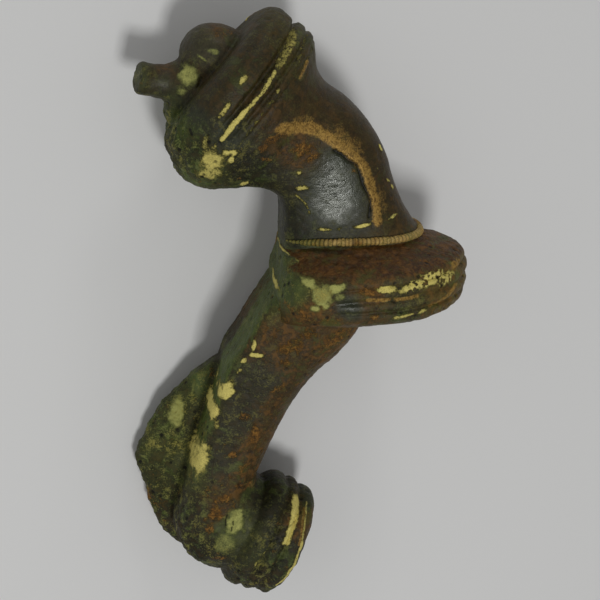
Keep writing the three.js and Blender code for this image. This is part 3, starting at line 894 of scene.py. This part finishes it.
def makeFinish():
    material = bpy.data.materials.new("patinatedBronze")
    material.use_nodes = True
    tree = material.node_tree
    shader = tree.nodes["Principled BSDF"]
    start = Wire(tree, None)
    place = start.node("ShaderNodeTexCoord", {}, {}, 3)

    def colourOf(name):
        return start.node("ShaderNodeAttribute", {"attribute_name": name}, {})

    def noise(size, detail=4.0, rough=0.62, warp=0.0):
        inputs = {"Vector": place, "Scale": 1000 / size, "Detail": detail}
        inputs.update({"Roughness": rough, "Distortion": warp})
        return start.node("ShaderNodeTexNoise", {}, inputs)

    def split(colour):
        node = start.node("ShaderNodeSeparateColor", {}, {"Color": colour}).socket.node
        return [Wire(tree, node.outputs[k]) for k in range(3)]

    def paint(name):
        return (*fromLook(finish[name]), 1)

    def twoTone(old, new, share):
        inputs = {"Factor": share, 6: paint(old), 7: paint(new)}
        return start.node("ShaderNodeMix", {"data_type": "RGBA"}, inputs, 2)

    fine = noise(0.42)
    grainy = noise(0.15, 3.0)
    middle = noise(1.2, 5.0, 0.65, 0.6)
    other = noise(0.75, 5.0, 0.7, 0.4)
    broad = noise(3.2, 3.0)
    cream, paleGreen, rust = split(colourOf("crusts"))
    goldWearAndSheen, gloss, dirtAndShade = split(colourOf("wearSheenAndShade"))
    rough, warm = split(colourOf("skin"))[:2]
    edge = (fine - 0.5) * 1.5 + (grainy - 0.5) * 1.3
    creamShare = (cream * 1.35 + edge - 0.25).between(0.2, 0.7)
    greenShare = (paleGreen * 1.2 + edge * 0.5 - 0.15).between(0.05, 0.85)
    rustShare = (rust * 1.1 + edge * 0.9 - 0.15).between(0.15, 0.85)
    goldWearAndSheenShare = (goldWearAndSheen * 1.15 + edge * 0.5 - 0.1).between(0.05, 0.95)
    loose = 1 - gloss
    rustFleck = (middle * 0.6 + other * 0.55 + fine * 0.25).between(0.69, 0.8)
    rustFleck = rustFleck * rough * loose * (0.12 + warm * 0.88)
    leafFleck = (1 - middle * 0.5 - broad * 0.6).between(0.47, 0.6) * rough * loose
    paleFleck = (1.1 - middle * 0.5 - other * 0.35 + grainy * 0.35).between(0.84, 0.97)
    paleFleck = paleFleck * rough * loose * (1 - warm * 0.6)
    darkFleck = (1 - other * 0.7 - fine * 0.5).between(0.47, 0.62) * loose
    colour = colourOf("ground").tinted(fine * 0.8 + grainy * 0.6 + other * 0.4)
    colour = colour.mixed(leafFleck * 0.5, paint("leaf"))
    colour = colour.mixed(rustFleck * 0.6, twoTone("rustOld", "rust", fine))
    colour = colour.mixed(darkFleck * (0.25 + rough * 0.45), paint("dirtAndShade"))
    mottle = fine + grainy - 0.5
    colour = colour.mixed(rustShare * 0.85, twoTone("rustOld", "rust", mottle.between(0.3, 0.75)))
    # golden worn metal, in part a painted sheen
    colour = colour.mixed(goldWearAndSheenShare * 0.72, twoTone("goldOld", "goldWearAndSheen", mottle.between(0.25, 0.7)))
    greenTone = paleGreen.between(0.3, 0.95) * (fine + grainy)
    colour = colour.mixed(greenShare * 0.85, twoTone("greenOld", "paleGreen", greenTone))
    colour = colour.mixed(paleFleck * 0.65, twoTone("greenOld", "creamOld", broad.between(0.35, 0.65)))
    tone = cream.between(0.35, 0.95) * (fine * 0.6 + grainy * 0.8 + 0.2)
    colour = colour.mixed(creamShare * 0.9, twoTone("creamOld", "cream", tone))
    colour = colour.tinted(0.8 + grainy * 0.35 + broad * 0.1)
    # darkening: dirt in pits and cracks, and painted shade along the shade strokes
    colour = colour.mixed(dirtAndShade.between(0.2, 0.9) * 0.85, paint("dirtAndShade"))
    tree.links.new(colour.socket, shader.inputs["Base Color"])
    crust = start.maths("MAXIMUM", creamShare, greenShare * 0.8)
    crust = start.maths("MAXIMUM", crust, rustShare * 0.8)
    roughness = finish["roughness"] + (fine - 0.5) * 0.4 + rough * 0.12
    roughness = roughness - gloss * (finish["roughness"] - finish["glossy"])
    roughness = roughness * (1 - crust) + crust * finish["crusty"]
    tree.links.new(roughness.socket, shader.inputs["Roughness"])
    metal = finish["metallic"] + goldWearAndSheenShare * (1 - crust) * 0.4
    tree.links.new(metal.socket, shader.inputs["Metallic"])
    shader.inputs["Specular IOR Level"].default_value = finish["specular"]
    bumps = grainy * 0.4 + fine * 0.7 + other * 0.9 * rough
    bumps = bumps * (0.22 - gloss * 0.1 + rough * 0.5 + crust * 0.5)
    inputs = {"Strength": 0.8, "Distance": finish["bumpDepth"], "Height": bumps + creamShare * 0.3}
    bump = start.node("ShaderNodeBump", {}, inputs)
    tree.links.new(bump.socket, shader.inputs["Normal"])
    return material


bronze = makeFinish()
pieces = [head, rim, foot, string]
for piece in pieces:
    piece.data.materials.append(bronze)
    piece.data.transform(layDown)
    points = verticesOf(piece)
    points[:, 2] = np.maximum(points[:, 2], 0)  # the rims lie flat on the floor
    setVertices(piece, points)
    bareSelection()
    piece.select_set(True)
    bpy.context.view_layer.objects.active = piece
    bpy.ops.object.shade_smooth()
    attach(piece, "root")
    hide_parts("cast_brooch")
print("pieces laid down and finished")

# Floor, lights and camera

studio = {"floor": (0.78, 0.78, 0.77, 1), "floorRoughness": 0.7, "air": 0.22}

bareSelection()
bpy.ops.mesh.primitive_plane_add(size=3)
floor = bpy.context.active_object
floor.name = "floor"
plain = bpy.data.materials.new("paleFloor")
plain.use_nodes = True
plain.node_tree.nodes["Principled BSDF"].inputs["Base Color"].default_value = studio["floor"]
plain.node_tree.nodes["Principled BSDF"].inputs["Roughness"].default_value = studio["floorRoughness"]
floor.data.materials.append(plain)

view = {"from": (-14.2, 48.24, 141.32), "right": (0.995, 0, 0.1), "lens": 90}


def placeCamera():
    back = Vector(view["from"]).normalized()
    right = Vector(view["right"]).normalized()
    up = back.cross(right)
    axes = Matrix((right, up, back)).transposed().to_4x4()
    bpy.ops.object.camera_add()
    camera = bpy.context.active_object
    turned = layDown @ Matrix.Translation(view["from"]) @ axes
    camera.matrix_world = Matrix.LocRotScale(turned.to_translation(), turned.to_quaternion(), None)
    camera.data.lens = view["lens"]
    camera.data.clip_start = 0.005
    bpy.context.scene.camera = camera


placeCamera()

lamps = {
    "key": {"at": (-0.03, -0.09, 0.36), "size": 0.07, "power": 0.5},
    "head": {"at": (0.08, 0.38, 0.12), "size": 0.09, "power": 0.22},
    "fill": {"at": (-0.26, 0.10, 0.24), "size": 0.30, "power": 0.10},
}
for name, lamp in lamps.items():
    bpy.ops.object.light_add(type="AREA", location=lamp["at"])
    light = bpy.context.active_object
    light.name = name
    light.data.size = lamp["size"]
    light.data.energy = lamp["power"]
    light.rotation_euler = (-Vector(lamp["at"])).to_track_quat("-Z", "Y").to_euler()
print("floor, camera and lamps placed")

world = bpy.data.worlds.new("studio")
bpy.context.scene.world = world
world.use_nodes = True
world.node_tree.nodes["Background"].inputs["Color"].default_value = (1, 1, 1, 1)
world.node_tree.nodes["Background"].inputs["Strength"].default_value = studio["air"]
bpy.context.scene.view_settings.view_transform = "Standard"
